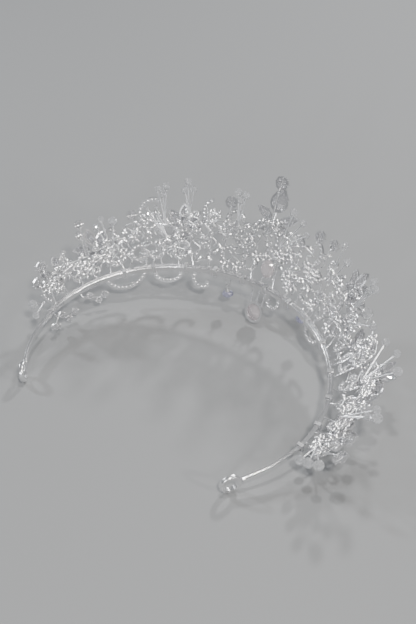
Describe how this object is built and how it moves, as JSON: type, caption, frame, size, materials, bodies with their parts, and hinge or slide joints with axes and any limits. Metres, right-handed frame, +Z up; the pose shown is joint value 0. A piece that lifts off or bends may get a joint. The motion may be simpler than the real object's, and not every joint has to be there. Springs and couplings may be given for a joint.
{
  "type": "bridal tiara",
  "caption": "Silver bridal tiara with scroll filigree, crystal flowers, springy bead sprigs and hanging crystal drops on an open band.",
  "frame": {"origin": "bottom centre of the box of the tiara as it stands on a table", "axes": "+Z up, -Y towards the crown at the front, +X towards the wearer's left"},
  "size_m": [0.1838, 0.1266, 0.072],
  "materials": {
    "silver_plate": "bright silver plate",
    "silver_wire": "bright drawn wire",
    "crystal": "clear faceted",
    "bead_crystal": "clear faceted",
    "ab_crystal": "clear with an aurora coating",
    "foiled_crystal": "foil-backed"
  },
  "bodies": {
    "tiara": {"head_band": "silver_plate", "left_end_loop": "silver_plate", "left_loop_collar": "silver_plate", "right_end_loop": "silver_plate", "right_loop_collar": "silver_plate", "band_cup_strip": "silver_plate", "band_cup_stones": "crystal", "centre_filigree_stones": "crystal", "left_inner_filigree_stones": "crystal", "left_outer_filigree_stones": "crystal", "right_inner_filigree_stones": "crystal", "right_outer_filigree_stones": "crystal", "centre_filigree": "silver_plate", "left_inner_filigree": "silver_plate", "left_outer_filigree": "silver_plate", "right_inner_filigree": "silver_plate", "right_outer_filigree": "silver_plate", "lower_scroll_stones": "crystal", "lower_scrolls": "silver_plate", "centre_flower_stones": "crystal", "centre_flower_settings": "silver_plate", "left_inner_flower_stones": "crystal", "left_inner_flower_settings": "silver_plate", "left_middle_flower_stones": "crystal", "left_middle_flower_settings": "silver_plate", "left_outer_flower_stones": "crystal", "left_outer_flower_settings": "silver_plate", "right_inner_flower_stones": "crystal", "right_inner_flower_settings": "silver_plate", "right_middle_flower_stones": "crystal", "right_middle_flower_settings": "silver_plate", "right_outer_flower_stones": "crystal", "right_outer_flower_settings": "silver_plate", "right_end_flower_stones": "crystal", "right_end_flower_settings": "silver_plate", "crest_claws": "silver_plate", "crest_stones": "crystal", "stem_stones": "crystal", "cup_stems": "silver_plate", "front_settings": "silver_plate", "front_stones": "foiled_crystal", "spray_beads": "bead_crystal", "spray_wires": "silver_wire", "trembler_pins": "silver_plate", "drop_pins": "silver_plate", "binding_wraps": "silver_wire"},
    "centre_trembler": {"centre_trembler_wire": "silver_wire", "centre_trembler_beads": "bead_crystal"},
    "left_inner_trembler": {"left_inner_trembler_wire": "silver_wire", "left_inner_trembler_beads": "bead_crystal"},
    "left_crest_trembler": {"left_crest_trembler_wire": "silver_wire", "left_crest_trembler_beads": "bead_crystal"},
    "right_inner_trembler": {"right_inner_trembler_wire": "silver_wire", "right_inner_trembler_beads": "bead_crystal"},
    "right_outer_trembler": {"right_outer_trembler_wire": "silver_wire", "right_outer_trembler_beads": "bead_crystal"},
    "left_drop": {"left_drop_cap": "silver_plate", "left_drop_stone": "ab_crystal"},
    "right_drop": {"right_drop_cap": "silver_plate", "right_drop_stone": "ab_crystal"}
  },
  "joints": [
    {"name": "centre_trembler_nod", "type": "hinge", "parent": "tiara", "child": "centre_trembler", "pos_m": [0.02156, -0.04675, 0.04455], "axis": [0.988, 0.1524, -0.0233], "range_deg": [-8, 3], "stiffness_Nm_per_rad": 0.004},
    {"name": "left_inner_trembler_nod", "type": "hinge", "parent": "tiara", "child": "left_inner_trembler", "pos_m": [0.04488, -0.03974, 0.04454], "axis": [0.9083, 0.4135, -0.0633], "range_deg": [-8, 3], "stiffness_Nm_per_rad": 0.004},
    {"name": "left_crest_trembler_nod", "type": "hinge", "parent": "tiara", "child": "left_crest_trembler", "pos_m": [0.05421, -0.03323, 0.04042], "axis": [0.8412, 0.5345, -0.0818], "range_deg": [-8, 3], "stiffness_Nm_per_rad": 0.004},
    {"name": "right_inner_trembler_nod", "type": "hinge", "parent": "tiara", "child": "right_inner_trembler", "pos_m": [-0.05063, -0.03169, 0.03902], "axis": [0.7659, -0.6356, 0.0973], "range_deg": [-8, 3], "stiffness_Nm_per_rad": 0.004},
    {"name": "right_outer_trembler_nod", "type": "hinge", "parent": "tiara", "child": "right_outer_trembler", "pos_m": [-0.07232, 0.01074, 0.01902], "axis": [0.1762, -0.973, 0.1489], "range_deg": [-8, 3], "stiffness_Nm_per_rad": 0.004},
    {"name": "left_drop_swing", "type": "hinge", "parent": "tiara", "child": "left_drop", "pos_m": [0.02173, -0.04025, 0.01468], "axis": [0.9842, 0.1751, -0.0268], "range_deg": [-8, 24]},
    {"name": "right_drop_swing", "type": "hinge", "parent": "tiara", "child": "right_drop", "pos_m": [-0.02058, -0.04077, 0.01858], "axis": [0.9416, -0.3327, 0.0509], "range_deg": [-8, 24]}
  ]
}
